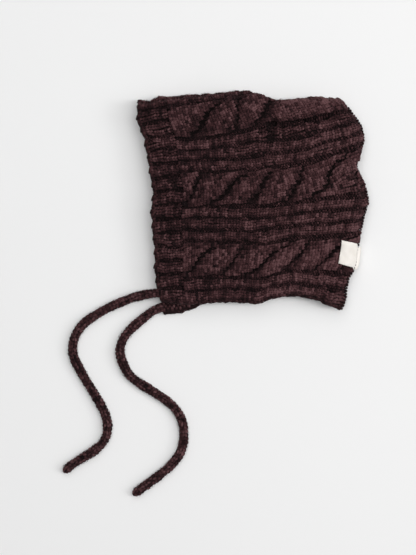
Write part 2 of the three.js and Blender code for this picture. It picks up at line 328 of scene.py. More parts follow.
# The skin and its normal on a fine grid, read between its points.
GRID = (361, 801)
grid_back = np.linspace(0, 1, GRID[0])[:, None]
grid_around = np.linspace(0, 2, GRID[1])[None, :]
grid_point = skin(grid_back, grid_around)
grid_normal = unit(np.cross(np.gradient(grid_point, axis=0), np.gradient(grid_point, axis=1)))
grid_inner = skin(grid_back, grid_around, WALL)

# Hand-knitted unevenness: soft lumps over the skin, and edges that wander.
LUMP = 0.6
SWELL = 0.65
HALF_ROUND = 165.0  # millimetres of knitting from a neck edge to the fold
RIB_PAIRS = 15.5  # ribs of the band from a neck edge to the fold
free = smooth(grid_point[..., 2:] / 6.0)  # 0 where the knitting is pressed flat on the surface
lumps = LUMP * noise(GRID, (9, 11), 101) + SWELL * noise(GRID, (26, 30), 102)
grid_point = grid_point + grid_normal * lumps[..., None] * free
arc_mm = grid_back * ARC
edge_mm = np.minimum(grid_around, 2 - grid_around) * HALF_ROUND
to_neck = unit(np.gradient(grid_point, axis=1)) * np.where(grid_around < 1, 1.0, -1.0)[..., None]
to_face = unit(np.gradient(grid_point, axis=0))


def along_back(cell, seed):
    """Noise that changes only along the way back."""
    return noise((GRID[0], 2), (cell, 4), seed)[:, :1]


neck_wave = 0.75 * along_back(7, 103) + 0.45 * along_back(3, 104)
face_wave = 0.6 * noise((2, GRID[1]), (4, 14), 105)[:1] + 0.45 * np.cos(2 * np.pi * grid_around * RIB_PAIRS)
fold_wave = 0.45 * along_back(10, 109) + 0.4 * along_back(5, 110)
fold_wave = fold_wave - 0.8 * np.exp(-(((grid_back - 0.885) / 0.06) ** 2))  # the crown dips before the seam
at_fold = np.exp(-(((grid_around - 1) * HALF_ROUND / 9.0) ** 2))
grid_point = grid_point + grid_normal * (fold_wave * at_fold)[..., None] * free
neck_shift = to_neck * (neck_wave * np.exp(-edge_mm / 7.0))[..., None]
face_shift = to_face * (face_wave * np.exp(-arc_mm / 6.0))[..., None]
edge_shift = neck_shift + face_shift
grid_point = grid_point + edge_shift
grid_inner = grid_inner + edge_shift
grid_drift = 0.0054 * noise(GRID, (32, 26), 106) + 0.0032 * noise(GRID, (11, 18), 107)
grid_drift = (grid_drift * smooth(edge_mm / 12.0))[..., None]


def read(grid, back, around):
    """The grid's value at any place on the skin."""
    x = np.clip(back, 0, 1) * (GRID[0] - 1)
    y = np.clip(around / 2, 0, 1) * (GRID[1] - 1)
    i = np.minimum(x.astype(int), GRID[0] - 2)
    j = np.minimum(y.astype(int), GRID[1] - 2)
    fx, fy = (x - i)[..., None], (y - j)[..., None]
    low = grid[i, j] * (1 - fx) + grid[i + 1, j] * fx
    high = grid[i, j + 1] * (1 - fx) + grid[i + 1, j + 1] * fx
    return low * (1 - fy) + high * fy


# ---- Knitting charts ----
# Each letter is a wale, knit or purl. Wale widths are relative: a purl one sinks between knit ones.
RIB = "pkkp"
CABLE = "ppkkkkkkkkpp"
CROWN_CHART = RIB * 2 + (CABLE + RIB * 3) * 5 + CABLE + RIB * 2
BAND_CHART = RIB * 31
PURL_CLOSED = 0.26  # width of a purl wale to a knit one where the ribs close over it
PURL_OPEN = 0.5  # and where they are drawn apart
# Where the crown's panels end round the bonnet, at stations of the way back
STATIONS = [0.13, 0.4, 0.6, 0.8, 1.0]
PANEL_ENDS = [
    (0, 0, 0, 0, 0, 0),
    (8, 0.110, 0.108, 0.098, 0.122, 0.165),
    (20, 0.285, 0.263, 0.260, 0.291, 0.350),
    (32, 0.441, 0.426, 0.431, 0.459, 0.510),
    (44, 0.605, 0.586, 0.607, 0.655, 0.755),
    (56, 0.755, 0.742, 0.806, 0.838, 0.895),
    (68, 0.915, 0.918, 0.985, 1.010, 1.060),
    (80, 1.085, 1.085, 1.135, 1.160, 1.205),
    (92, 1.245, 1.255, 1.300, 1.330, 1.365),
    (104, 1.395, 1.410, 1.440, 1.470, 1.500),
    (116, 1.560, 1.575, 1.595, 1.620, 1.650),
    (128, 1.715, 1.720, 1.735, 1.755, 1.775),
    (140, 1.890, 1.890, 1.890, 1.890, 1.890),
    (148, 2, 2, 2, 2, 2),
]
# The folds of each cable, as millimetres back from the face edge at its middle, by its first wale
VALLEYS = {
    8: [10, 36.5, 63.5, 90.5, 117, 143, 170, 197],
    32: [5, 31.5, 58.4, 83, 111.5, 138, 165, 192],
    56: [-10, 15, 48.7, 73.6, 99],
    80: [12, 38, 64, 90, 116, 142, 168, 194],
    104: [8, 34, 60, 86, 112, 138, 164, 190],
    128: [10, 36, 62, 88, 114, 140, 166, 192],
}
ROW = 2.2  # millimetres


def widths(chart, purl):
    return np.concatenate([[0], np.cumsum([1.0 if c == "k" else purl for c in chart])])


closed_width = widths(CROWN_CHART, PURL_CLOSED)
open_width = widths(CROWN_CHART, PURL_OPEN)
band_width = widths(BAND_CHART, PURL_CLOSED)
panel_wale = np.array([row[0] for row in PANEL_ENDS])
grid_open = 0.6 * noise(GRID, (28, 16), 108)[..., None]
panel_fit = [np.polyfit(STATIONS, row[1:], 3) for row in PANEL_ENDS]


def drifted(back, around):
    """The same place with the wales' own wandering."""
    return around + read(grid_drift, back, around)[..., 0]


def drawn_open(back, around):
    """0 where the ribs close over the purl wales, 1 where they are drawn apart."""
    return np.clip(smooth((back - 0.3) / 0.6) + read(grid_open, back, around)[..., 0], 0, 1)


def crown_around(back, wale):
    """Where a crown wale lies round the bonnet. Its first rows fan out from the band's even ribs."""
    back, wale = np.broadcast_arrays(np.asarray(back, float), np.asarray(wale, float))
    k = np.clip(np.searchsorted(panel_wale, wale, side="right") - 1, 0, len(panel_wale) - 2)
    even = 2 * np.interp(wale, np.arange(len(closed_width)), closed_width) / closed_width[-1]
    opened = drawn_open(back, even)
    share = []
    for width in (closed_width, open_width):
        low, high = width[panel_wale[k]], width[panel_wale[k + 1]]
        share.append((np.interp(wale, np.arange(len(width)), width) - low) / (high - low))
    f = share[0] + (share[1] - share[0]) * opened
    b = np.clip(back, STATIONS[0], 1)
    ends = np.stack([np.polyval(f, b) for f in panel_fit], -1)
    low = np.take_along_axis(ends, k[..., None], -1)[..., 0]
    high = np.take_along_axis(ends, k[..., None] + 1, -1)[..., 0]
    settled = smooth((back * ARC - 20.0) / 16.0)  # past the rows that fan out
    around = even + (low + (high - low) * f - even) * (0.35 + 0.65 * settled)
    return drifted(back, around)


def band_around(back, wale):
    back, wale = np.broadcast_arrays(np.asarray(back, float), np.asarray(wale, float))
    return drifted(back, 2 * np.interp(wale, np.arange(len(band_width)), band_width) / band_width[-1])


# ---- Heights of the knitting over the skin, and the courses of its wales ----
KNIT_LEVEL = -0.85
PURL_LEVELS = (-3.3, -2.0)  # where the ribs close over a purl wale, and where they are drawn apart
STRAND_ROUND = 0.15  # how a cable falls off to its sides
LOBE_LOW = -1.2  # height at the fold where a lobe comes out
LOBE_HIGH = 2.6
LOBE_DROP = 1.4  # at its far end
LOBE_TILT = 1.7  # wales that it moves sideways
LEAN = 2.125  # millimetres further back that each next wale of a cable meets the same fold


def fold_at(start, k, offset):
    """How far back the fold k of a cable lies at a wale: slanted, curved and each a little different."""
    turn = np.sin(2.4 * k + 0.07 * start)
    slant = LEAN * (1 + 0.22 * turn) * (offset + 0.035 * offset**3 * (1 + turn))
    wander = 0.7 * np.sin(0.8 * offset + 3.1 * k + start)
    return np.array(VALLEYS[start], float)[k] + slant + wander


def lobe(start, offset, arc):
    """How far through its lobe a stitch of a cable lies, from 0 at the fold where the lobe comes out from
    under the one before to 1 where it ends over the next. arc is (stitches, points along a stitch)."""
    last = len(VALLEYS[start]) - 1
    folds = fold_at(start, np.arange(last + 1), offset)
    middle = arc.mean(axis=1, keepdims=True)
    k = np.clip(np.searchsorted(folds, middle, side="right") - 1, 0, last - 1)
    through = (arc - folds[k]) / (folds[k + 1] - folds[k])
    return np.where(middle > folds[last], np.minimum((arc - folds[last]) / 40.0, 0.55), through)


def cable_course(start, offset, arc):
    """Wale position and height of one of the eight wales of a cable."""
    through = lobe(start, offset, arc)
    rise = np.sin(np.pi / 2 * np.clip(through / 0.5, 0, 1)) ** 0.7
    drop = smooth((through - 0.9) / 0.1)
    plump = LOBE_LOW + (LOBE_HIGH - LOBE_LOW) * rise - LOBE_DROP * drop - STRAND_ROUND * offset**2
    height = plump * smooth((arc - crown_start + 2.0) / 12.0)
    sideways = LOBE_TILT * (through - 0.5) * (1 - (offset / 4.3) ** 2)
    return start + 6 + offset + sideways, KNIT_LEVEL + height


def shade_of(start, offset, arc):
    """How much darker a cable's stitch is painted, as shade: darker in the fold where a lobe comes out from
    under the one before, toward the lobe's far end and toward the cable's sides.
    """
    through = lobe(start, offset, arc[:, None])[:, 0]
    hollow = 1 + 1.3 * max(0.0, -offset - 1.6)  # the painted shade widens where the fold opens into a hollow at its lower end
    dark = 0.34 * (1 - smooth(through / (0.075 * hollow))) + 0.2 * (1 - smooth(through / 0.42))
    dark = dark + 0.17 * smooth((through - 0.78) / 0.22)
    return dark + 0.04 * (abs(offset) - 2) - 0.03


def settle(back, around, height):
    """The same height where the far layer is pressed flat on the surface."""
    under = smooth((around - 1.06) / 0.1)
    return height - under * (0.25 + np.maximum(0, height - KNIT_LEVEL))


def under_label(back, around):
    """1 where the label presses the stitches down, 0 away from it."""
    share = np.minimum(around, 2 - around)
    beside = smooth((share - 0.165) / 0.02) * smooth((0.311 - share) / 0.02)
    return smooth((back - 0.85) / 0.03) * beside


def place(back, around, height):
    """Points over the skin and the normals there."""
    normal = unit(read(grid_normal, back, around))
    fade = smooth((1 - back) / 0.03)
    lifted = settle(back, around, height) * (0.35 + 0.65 * fade)
    lifted = lifted - under_label(back, around) * np.maximum(0, lifted + 1.15)
    return read(grid_point, back, around) + normal * lifted[..., None], normal


# A stitch leg along its path: share, place across the wale, height
LEG = np.array([
    (-0.22, 0.07, -1.0), (-0.05, 0.12, -0.35), (0.3, 0.23, 0.2),
    (0.68, 0.33, 0.16), (0.98, 0.40, -0.5), (1.1, 0.42, -1.1),
])
LEG_RADIUS = np.array([0, 0.72, 1.0, 1.0, 0.74, 0])
# The same with fewer rings, for the far layer
COARSE_LEG = np.array([LEG[0], (0.02, 0.18, 0.05), (0.85, 0.35, 0.0), LEG[5]])
COARSE_RADIUS = np.array([0, 1.0, 0.95, 0])
# The bump of a purl stitch: place across the wale, height
BUMP = np.array([(-0.62, -0.55), (-0.42, 0.0), (0.0, 0.28), (0.42, 0.0), (0.62, -0.55)])
BUMP_RADIUS = np.array([0, 0.8, 1.0, 0.8, 0])


class Yarn:
    """Thickness, tone, height and sway of the yarn by row and wale, with thick slubs here and there."""

    def __init__(self, rows, wales, seed):
        r = np.random.default_rng(seed)
        slow = noise((rows, wales), (1.7, 2.6), seed + 1)
        fine = noise((rows, wales), (1.0, 1.3), seed + 2)
        slub = np.zeros((rows, wales))
        for _ in range(int(rows * wales / 48)):
            i, j = r.integers(rows), r.integers(wales)
            size = r.uniform(0.4, 1.0)
            for di in (-1, 0, 1):
                for dj in (-1, 0, 1):
                    if 0 <= j + dj < wales and 0 <= i + di < rows:
                        thicker = size * math.exp(-(di**2 + dj**2) / 1.6)
                        slub[i + di, j + dj] = max(slub[i + di, j + dj], thicker)
        self.thick = 1 + 0.07 * slow + 0.1 * fine + 0.34 * slub
        self.tone = 0.54 + 0.05 * slow + 0.06 * fine + 0.09 * slub + 0.16 * r.normal(size=(rows, wales))
        self.jitter = r.normal(size=(rows, wales, 3))
        self.rise = 0.5 * noise((rows, wales), (2.6, 3.1), seed + 3) + 0.6 * slub
        self.rise = self.rise + 0.35 * noise((rows, wales), (1.5, 2.2), seed + 5)
        self.sway = 0.2 * noise((rows, wales), (2.4, 2.0), seed + 4)


OUTER_SPREAD, INNER_SPREAD = 0.8, 0.9  # how wide a leg stands beside a furrow, and elsewhere
OUTER_DROP = 0.7  # millimetres that a leg beside a furrow lies lower
# painted shade on a leg beside a furrow, and painted light on the leg away from it
OUTER_LEG_SHADE, INNER_LEG_LIGHT = -0.1, 0.03
CRUMPLE_SHADE = 0.1  # painted shade in the crumples, for each millimetre of a crumple's depth
BACK_PAINTED_LIGHT = 0.17  # painted light: the yarn is made lighter toward the back, where the bonnet faces the lamps
# painted shade on the purl bumps down in the furrows
FURROW_SHADE = 0.27
FURROW_OPEN = 0.2  # how much of that painted shade is lost where the ribs are drawn apart


def knit_legs(heap, rows, arc_of, course, yarn, wale, radius, sides, coarse, around_of, outer=0, shade=None):
    """Adds both legs of every stitch of one wale. course gives place and height at an arc position, outer
    is the side that faces a furrow, and shade gives the painted shade that darkens each stitch."""
    i = np.arange(rows)
    shape, size = (COARSE_LEG, COARSE_RADIUS) if coarse else (LEG, LEG_RADIUS)
    jitter = yarn.jitter[i, wale]
    thick = yarn.thick[i, wale][:, None]
    middle_arc = arc_of(i + 0.5)
    middle = read(grid_point, middle_arc / ARC, around_of(middle_arc / ARC, wale + 0.5))
    # painted shade, deeper where a crumple dents the skin
    crumple_shade = CRUMPLE_SHADE * dent(CRUMPLES, middle[:, 0], middle[:, 1])
    # painted light, growing toward the back
    back_light = BACK_PAINTED_LIGHT * smooth((middle_arc / ARC - 0.3) / 0.6)
    for side in (-1, 1):
        u = i[:, None] + shape[None, :, 0] + 0.05 * jitter[:, :1]
        arc = arc_of(u)
        place_at, height = course(arc)
        spread = OUTER_SPREAD if side == outer else INNER_SPREAD
        across = place_at + side * (spread * shape[None, :, 1] + 0.03 * jitter[:, 1:2])
        across = across + yarn.sway[i, wale][:, None]
        back = arc / ARC
        h = height + shape[None, :, 2] * radius * thick + 0.16 * jitter[:, 2:3] + yarn.rise[i, wale][:, None]
        h = h - (OUTER_DROP if side == outer else 0.0)
        point, normal = place(back, around_of(back, across), h)
        tone = yarn.tone[i, wale] + 0.03 * side + back_light
        # painted shade and light on the legs of a wale at a rib's edge
        if outer:
            tone = tone + (OUTER_LEG_SHADE if side == outer else INNER_LEG_LIGHT)
        tone = tone - crumple_shade
        # painted shade in the cables' folds
        if shade:
            tone = tone - shade(middle_arc)
        heap.add(point, normal, radius * thick * size[None], sides, tone)


def purl_bumps(heap, rows, arc_of, yarn, wale, radius, sides, around_of, wide):
    """Adds the bump across a purl wale at every row, half a row further in every other wale."""
    i = np.arange(rows)
    jitter = yarn.jitter[i, wale]
    thick = yarn.thick[i, wale][:, None]
    u = i[:, None] + 0.25 + 0.5 * (wale % 2) + 0.3 * BUMP[None, :, 0] + 0.08 * jitter[:, :1]
    arc = arc_of(u)
    across = wale + 0.5 + wide * BUMP[None, :, 0] + 0 * arc
    back = arc / ARC
    around = around_of(back, across)
    opened = drawn_open(back[:, :1], around[:, :1])
    level = PURL_LEVELS[0] + (PURL_LEVELS[1] - PURL_LEVELS[0]) * opened
    h = level + BUMP[None, :, 1] * radius + 0.25 * jitter[:, 2:3]
    point, normal = place(back, around, h)
    # painted shade in the furrow, less where the ribs are drawn apart
    tone = yarn.tone[i, wale] - FURROW_SHADE + FURROW_OPEN * opened[:, 0]
    heap.add(point, normal, radius * thick * BUMP_RADIUS[None], sides, tone)


def straight(wale, level):
    """The course of a wale that runs straight back at one height."""
    return lambda arc: (wale + 0.5 + 0 * arc, level + 0 * arc)


def outer_side(chart, wale):
    """Which side of a knit wale faces a furrow: -1, 1 or 0 for neither."""
    if wale > 0 and chart[wale - 1] == "p":
        return -1
    return 1 if wale + 1 < len(chart) and chart[wale + 1] == "p" else 0


# ---- Crown ----
RIB_LEG = 0.88  # radius of the yarn in millimetres
CABLE_LEG = 0.98
NEAR_WALES = 78  # the rest lie on the far layer
band_arc = BAND_DEPTH / DEPTH * ARC
crown_start = band_arc + 0.3
crown_length = ARC - 1.2 - crown_start
crown_rows = int(crown_length / ROW)
crown_yarn = Yarn(crown_rows, len(CROWN_CHART), 11)


def crown_arc(u):
    return crown_start + u * crown_length / crown_rows


def cable_wale(heap, start, wale, sides, coarse):
    """One of the eight knit wales of the cable that starts at a wale."""
    offset = wale - start - 5.5

    def course(arc):
        return cable_course(start, offset, arc)

    def shade(arc):
        return shade_of(start, offset, arc)

    knit_legs(
        heap, crown_rows, crown_arc, course, crown_yarn, wale, CABLE_LEG, sides, coarse, crown_around,
        shade=shade,
    )


HEAP_NAMES = ("near_ribs", "near_cables", "near_furrows", "far_ribs", "far_cables", "far_furrows")
heaps = {name: Heap() for name in HEAP_NAMES}
for wale, kind in enumerate(CROWN_CHART):
    inside = [start for start in sorted(VALLEYS) if start + 2 <= wale < start + 10]
    coarse = wale >= NEAR_WALES
    side = "far" if coarse else "near"
    sides = 4 if coarse else 6
    if kind == "p":
        heap = heaps[side + "_furrows"]
        purl_bumps(heap, crown_rows, crown_arc, crown_yarn, wale, 0.92, min(sides, 5), crown_around, 0.72)
    elif inside:
        cable_wale(heaps[side + "_cables"], inside[0], wale, sides, coarse)
    else:
        knit_legs(
            heaps[side + "_ribs"], crown_rows, crown_arc, straight(wale, KNIT_LEVEL), crown_yarn, wale,
            RIB_LEG, sides, coarse, crown_around, outer_side(CROWN_CHART, wale),
        )

pieces = [heap.build("crown_" + name) for name, heap in heaps.items()]

# ---- Face band ----
BAND_ROWS = 10
BAND_NEAR_WALES = 67
band_yarn = Yarn(BAND_ROWS, len(BAND_CHART), 23)
band_heap = Heap()


def band_arc_of(u):
    return 1.3 + u * (band_arc - 1.3) / BAND_ROWS


for wale, kind in enumerate(BAND_CHART):
    coarse = wale >= BAND_NEAR_WALES
    sides = 4 if coarse else 5
    if kind == "k":
        knit_legs(
            band_heap, BAND_ROWS, band_arc_of, straight(wale, KNIT_LEVEL + 0.1), band_yarn, wale,
            RIB_LEG, sides, coarse, band_around, outer_side(BAND_CHART, wale),
        )
    else:
        purl_bumps(band_heap, BAND_ROWS, band_arc_of, band_yarn, wale, 0.75, sides, band_around, 0.9)
pieces.append(band_heap.build("band_stitches"))


# ---- Ground of the knitting: a closed wall under the stitches, in dark wool as painted shade between them ----
GROUND_LEVELS = {"k": -2.2, "p": -3.3}  # under a knit and a purl wale
GROUND_TONES = [0.28, 0.9]  # of its outer and its inner face, in the ground wool that is painted dark as shade


def ground(name, arcs, chart, around_of):
    """A closed wall: its outer face lies just under the stitches and its inner face is the purl side."""
    back = (arcs / ARC)[:, None]
    wale = np.linspace(0, len(chart), 2 * len(chart) + 1)[None, :]
    around = around_of(back, wale)
    levels = [GROUND_LEVELS[kind] for kind in chart + chart[-1]]
    level = np.interp(wale, np.arange(len(levels)), levels)
    fade = smooth((1 - back) / 0.03)
    normal = unit(read(grid_normal, back + 0 * wale, around))
    depth = settle(back, around, level) * (0.3 + 0.7 * fade)
    outer = read(grid_point, back + 0 * wale, around) + normal * depth[..., None]
    inner = read(grid_inner, back + 0 * wale, around)
    ripple = 0.22 * np.sin(2 * np.pi * (arcs / ROW))[:, None] * np.sin(2 * np.pi * wale)
    inner = inner - normal * (ripple * fade)[..., None]
    outer[..., 2] = np.maximum(outer[..., 2], 0.1)
    return wall(name, outer, inner, GROUND_TONES)


crown_arcs = np.linspace(band_arc + 0.25, ARC - 0.15, 100)
crown_ground = ground("crown_ground", crown_arcs, CROWN_CHART, crown_around)
band_ground = ground("band_ground", np.linspace(0.4, band_arc - 0.05, 16), BAND_CHART, band_around)


# ---- Edges: cast-on at the face, selvage at the neck, overcast back seam ----
LINK_RADIUS = np.array([[0, 0.85, 1.0, 0.85, 0]])  # a plump link, closed at both ends


def chain(heap, back, around, height, size, tone, lean):
    """A rope of plump links along a line on the skin, each overlapping the next."""
    point, normal = place(back, around, height)
    seg = np.diff(point, axis=0)
    along = unit(seg)
    centre = 0.5 * (point[1:] + point[:-1])
    up = unit(normal[1:] + normal[:-1])
    out = np.cross(along, up)
    t = np.array([-0.85, -0.6, 0.0, 0.6, 0.85])[None, :, None]
    length = np.linalg.norm(seg, axis=1)[:, None, None]
    sag = np.array([-0.5, -0.1, 0.2, -0.1, -0.5])[None, :, None]
    path = centre[:, None] + along[:, None] * t * length + up[:, None] * sag * size
    path = path + out[:, None] * t * lean * length
    r = size * (1 + 0.14 * rng.normal(size=(len(centre), 1))) * LINK_RADIUS
    heap.add(path, np.repeat(up[:, None], 5, 1), r, 5, tone + 0.13 * rng.normal(size=len(centre)))


edges = Heap()
# cast-on: three chains round the face edge, with a link for each wale
rim_wales = np.arange(0, len(BAND_CHART) + 1, 1.0)
for level, inset, size in ((-1.0, 1.0, 0.95), (-2.4, 0.2, 0.95), (-3.7, 0.8, 0.85)):
    wave = 0.45 * np.cos(2 * np.pi * (rim_wales - 2) / 4)
    a = np.full(rim_wales.shape, inset) / ARC
    chain(edges, a, band_around(a, rim_wales), level + wave, size, 0.46, 0.18)
pieces.append(edges.build("face_cast_on"))

selvage = Heap()
for around_edge, inward in ((0.0, 1), (2.0, -1)):
    for level, shift, size in ((-1.5, 0.002, 1.0), (-2.9, -0.0, 1.0), (-4.2, 0.003, 0.85)):
        arcs = np.arange(1.0, ARC - 1.0, 3.3) + (1.6 if level < -2 else 0)
        arcs = np.minimum(arcs, ARC - 0.5)
        wobble = 0.3 * np.sin(arcs * 1.9 + level)
        edge = np.full(arcs.shape, around_edge) + inward * shift
        chain(selvage, arcs / ARC, edge, level + wobble, size, 0.45, 0.12)
pieces.append(selvage.build("neck_selvage"))

# overcast loops round the back seam
SEAM_LOOPS = 74


def seam_at(up):
    """Points of the back seam, up from the neck edge."""
    return np.concatenate([at(back_edge, up), np.full((len(up), 1), EDGE_HEIGHT)], -1) + SHIFT


seam = Heap()
seam_line = seam_at(np.linspace(0.004, 0.985, SEAM_LOOPS))
tangent = unit(np.gradient(seam_line, axis=0))
outward = unit(np.cross(tangent, np.array([0.0, 0.0, 1.0])))
lift = np.array([0.0, 0.0, 1.0])
ang = np.radians(np.array([-75, -55, -20, 20, 55, 75]))[None, :, None]
loops = (
    seam_line[:, None]
    - outward[:, None] * 2.0
    + outward[:, None] * np.cos(ang) * 2.35
    + lift * np.sin(ang) * 2.9
    + tangent[:, None] * np.sin(ang) * 0.8
)
seam_up = unit(outward[:, None] * np.cos(ang) + lift * np.sin(ang))
size = 0.78 * (1 + 0.15 * rng.normal(size=(SEAM_LOOPS, 1))) * np.array([[0, 0.85, 1, 1, 0.85, 0]])
seam.add(loops, seam_up, size, 5, 0.45 + 0.12 * rng.normal(size=SEAM_LOOPS))
pieces.append(seam.build("back_seam"))

# the purl side shows on the inner face along the open edges; its stitches are made lighter than the yarn as
# painted light, against the near layer's shade
inside = Heap()


def inner_bumps(back, around, size, tone):
    """Bumps across the wales on the inner face."""
    t = np.array([-1.0, -0.7, 0.0, 0.7, 1.0])
    lift_by = np.array([-0.6, 0.0, 0.35, 0.0, -0.6])
    a = around[:, None] + t[None] * 0.0105
    b = back[:, None] + 0 * a
    n = -unit(read(grid_normal, b, a))
    p = read(grid_inner, b, a) + n * (lift_by[None] * 0.8 + 0.1)[..., None]
    inside.add(p, n, size[:, None] * LINK_RADIUS, 5, tone)


for around_of, chart, first, last, rows in (
    (band_around, BAND_CHART, 0.9, band_arc, 13),
    (crown_around, CROWN_CHART, band_arc + 1.0, ARC - 6.0, 60),
):
    wales = len(chart)
    w, a = np.meshgrid(np.arange(wales) + 0.5, np.linspace(first, last, rows), indexing="ij")
    w = w + 0.5 * (np.arange(rows)[None] % 2)
    near_edge = (w < 9) | (w > wales - 9) | (a < 12)  # deeper in nothing is seen
    w, a = w[near_edge], a[near_edge]
    around = around_of(a / ARC, np.clip(w, 0, wales))
    ok = (around > 0.012) & (around < 1.988)
    size = 0.98 * (1 + 0.12 * rng.normal(size=ok.sum()))
    inner_bumps((a / ARC)[ok], around[ok], size, 0.7 + 0.15 * rng.normal(size=ok.sum()))
pieces.append(inside.build("inner_edge_stitches"))

# ---- Ties: knitted cords. Each row is a point of the middle line ----
NEAR_TIE = [
    (-72, -68.2, 11.8), (-77.3, -68.8, 11), (-87.6, -71.1, 7.6), (-98, -74.9, 4.6), (-107.1, -78.9, 3.4),
    (-116.3, -84.1, 3.3), (-124.4, -89.3, 3.3), (-130.1, -95.6, 3.3), (-133.5, -102.5, 3.3),
    (-134.6, -110, 3.3), (-133.5, -117.4, 3.3), (-129.5, -124.9, 3.3), (-124.4, -134, 3.3),
    (-118.6, -143.3, 3.3), (-113.4, -152.4, 3.3), (-109.7, -160.4, 3.3), (-108.5, -168.5, 3.3),
    (-110, -176.5, 3.3), (-114.6, -182.9, 3.3), (-121.4, -188, 3.3), (-128.9, -192.6, 3.3),
    (-135.8, -197.2, 3.3), (-140.6, -201.4, 3.3),
]
FAR_TIE = [
    (-69.6, -79.4, 3.3), (-73.8, -81.2, 3.3), (-81.8, -87, 3.3), (-88.7, -92.7, 3.3), (-95, -99.6, 3.3),
    (-98.5, -106.5, 3.3), (-99.1, -113.9, 3.3), (-96.8, -121.4, 3.3), (-92.2, -129.5, 3.3),
    (-85.3, -135.2, 3.3), (-77.3, -140.3, 3.3), (-69.2, -145.5, 3.3), (-61.2, -151.3, 3.3),
    (-55.4, -158.2, 3.3), (-52.2, -166.1, 3.3), (-51.5, -174.8, 3.3), (-52.6, -183.4, 3.3),
    (-56, -190.9, 3.3), (-62.3, -198.4, 3.3), (-70.4, -205.1, 3.3), (-78.4, -211, 3.3),
    (-84.2, -215, 3.3), (-88.5, -218.6, 3.3),
]
TIE_WALES = 5
TIE_ROW = 2.7
TIE_SEWN_IN = 4.0  # millimetres of each tie inside the band
TIE_SKIN = 2.66  # radius at which its stitches lie
TIE_LEG = 0.86
TIE_CORE = 2.45


def tie(name, route, seed):
    """A knitted cord along a route. Returns its piece, its path and its length in metres."""
    line = spline(route, 40)
    length = line[2]
    rows = int((length + TIE_SEWN_IN) / TIE_ROW)
    wide = 2 * (np.pi / TIE_WALES)
    yarn = Yarn(rows + 2, TIE_WALES, seed)
    i = np.arange(rows)
    heap = Heap()

    def frame_at(s):
        t = np.clip(s / length, 0, 1)
        p = at(line, t) + SHIFT
        ahead = unit(at(line, np.clip(t + 0.003, 0, 1)) - at(line, np.clip(t - 0.003, 0, 1)))
        side = unit(np.cross(ahead, np.array([0.0, 0.0, 1.0])))
        return p + ahead * (s - length * t)[..., None], ahead, side, np.cross(side, ahead)

    def on(s, angle, radius):
        p, ahead, side, top = frame_at(s)
        n = side * np.cos(angle)[..., None] + top * np.sin(angle)[..., None]
        return p + n * radius[..., None], n

    lump = 0.3 * noise((rows + 4, 1), (3.0, 1.0), seed + 5)[:, 0]
    r = np.random.default_rng(seed + 6)
    for wale in range(TIE_WALES):
        middle = 2 * np.pi * (wale + 0.25) / TIE_WALES
        thick = yarn.thick[i, wale][:, None]
        for leg in (-1, 1):
            u = i[:, None] + LEG[None, :, 0]
            s = (u + 0.4) * (length + TIE_SEWN_IN) / rows - TIE_SEWN_IN
            twist = 0.25 * np.sin(s / 31.0 + seed)
            across = LEG[None, :, 1] * wide + 0.03 * yarn.jitter[i, wale][:, :1]
            angle = middle + leg * across + twist
            grow = lump[np.clip(i, 0, rows)][:, None] + 0.1 * yarn.jitter[i, wale][:, 2:3]
            radius = TIE_SKIN + LEG[None, :, 2] * 1.15 + grow + 0 * s
            radius = radius * np.sqrt(np.clip((length + 0.4 - s) / 2.0, 0.05, 1))
            p, n = on(s, angle, radius)
            heap.add(p, n, TIE_LEG * thick * LEG_RADIUS[None], 5, 0.55 + 0.22 * r.normal(size=rows))
    # core under the stitches, closed at both ends, painted darkest as the shade between them
    s = np.linspace(-4.5, length - 0.6, 110)
    shape = np.minimum(1, np.sqrt(np.clip((length - 0.55 - s) / 1.8, 0, 1)))
    p, ahead, side, top = frame_at(s)
    core_radius = TIE_CORE * shape
    core_radius[0] = 0
    core_radius[-1] = 0
    heap.add(p[None], top[None], core_radius[None], 12, np.array([-0.1]))
    # the darned-in end
    k = np.arange(5)
    s_end = np.full((5, 5), length - 1.0)
    turn = 2 * np.pi * k[:, None] / 5 + np.linspace(-0.9, 0.9, 5)[None]
    p, n = on(s_end, turn, np.full((5, 5), 1.35))
    heap.add(p, n, 0.85 * LINK_RADIUS * np.ones((5, 1)), 5, 0.45 + 0.1 * rng.normal(size=5))
    piece = heap.build(name)
    steps = np.linspace(0, 1, 40)
    return piece, (at(line, steps) + SHIFT) * MM, length * MM


near_tie, near_path, near_length = tie("near_tie_cord", NEAR_TIE, 31)
far_tie, far_path, far_length = tie("far_tie_cord", FAR_TIE, 47)

# ---- Loose fibres over the wool ----
fuzz = Heap()


def hairs(base, up, count, seed):
    """Fine bent fibres that stand a little off the yarn."""
    r = np.random.default_rng(seed)
    side = unit(np.cross(up, unit(r.normal(size=(count, 3)))))
    length = r.uniform(1.6, 4.2, (count, 1, 1))
    rise = r.uniform(0.25, 1.3, (count, 1, 1))
    bend = unit(np.cross(up, side)) * r.uniform(-0.6, 0.6, (count, 1))
    t = np.linspace(0, 1, 5)[None, :, None]
    path = (
        base[:, None] + side[:, None] * (t - 0.5) * length + up[:, None] * rise * 4 * t * (1 - t)
        + bend[:, None] * np.sin(t * np.pi * 1.5) * 0.8
    )
    radius = 0.055 * np.ones((count, 1)) * np.array([[0, 1, 1, 1, 0]])
    fuzz.add(path, np.repeat(up[:, None], 5, 1), radius, 3, r.uniform(0.5, 1.0, count))


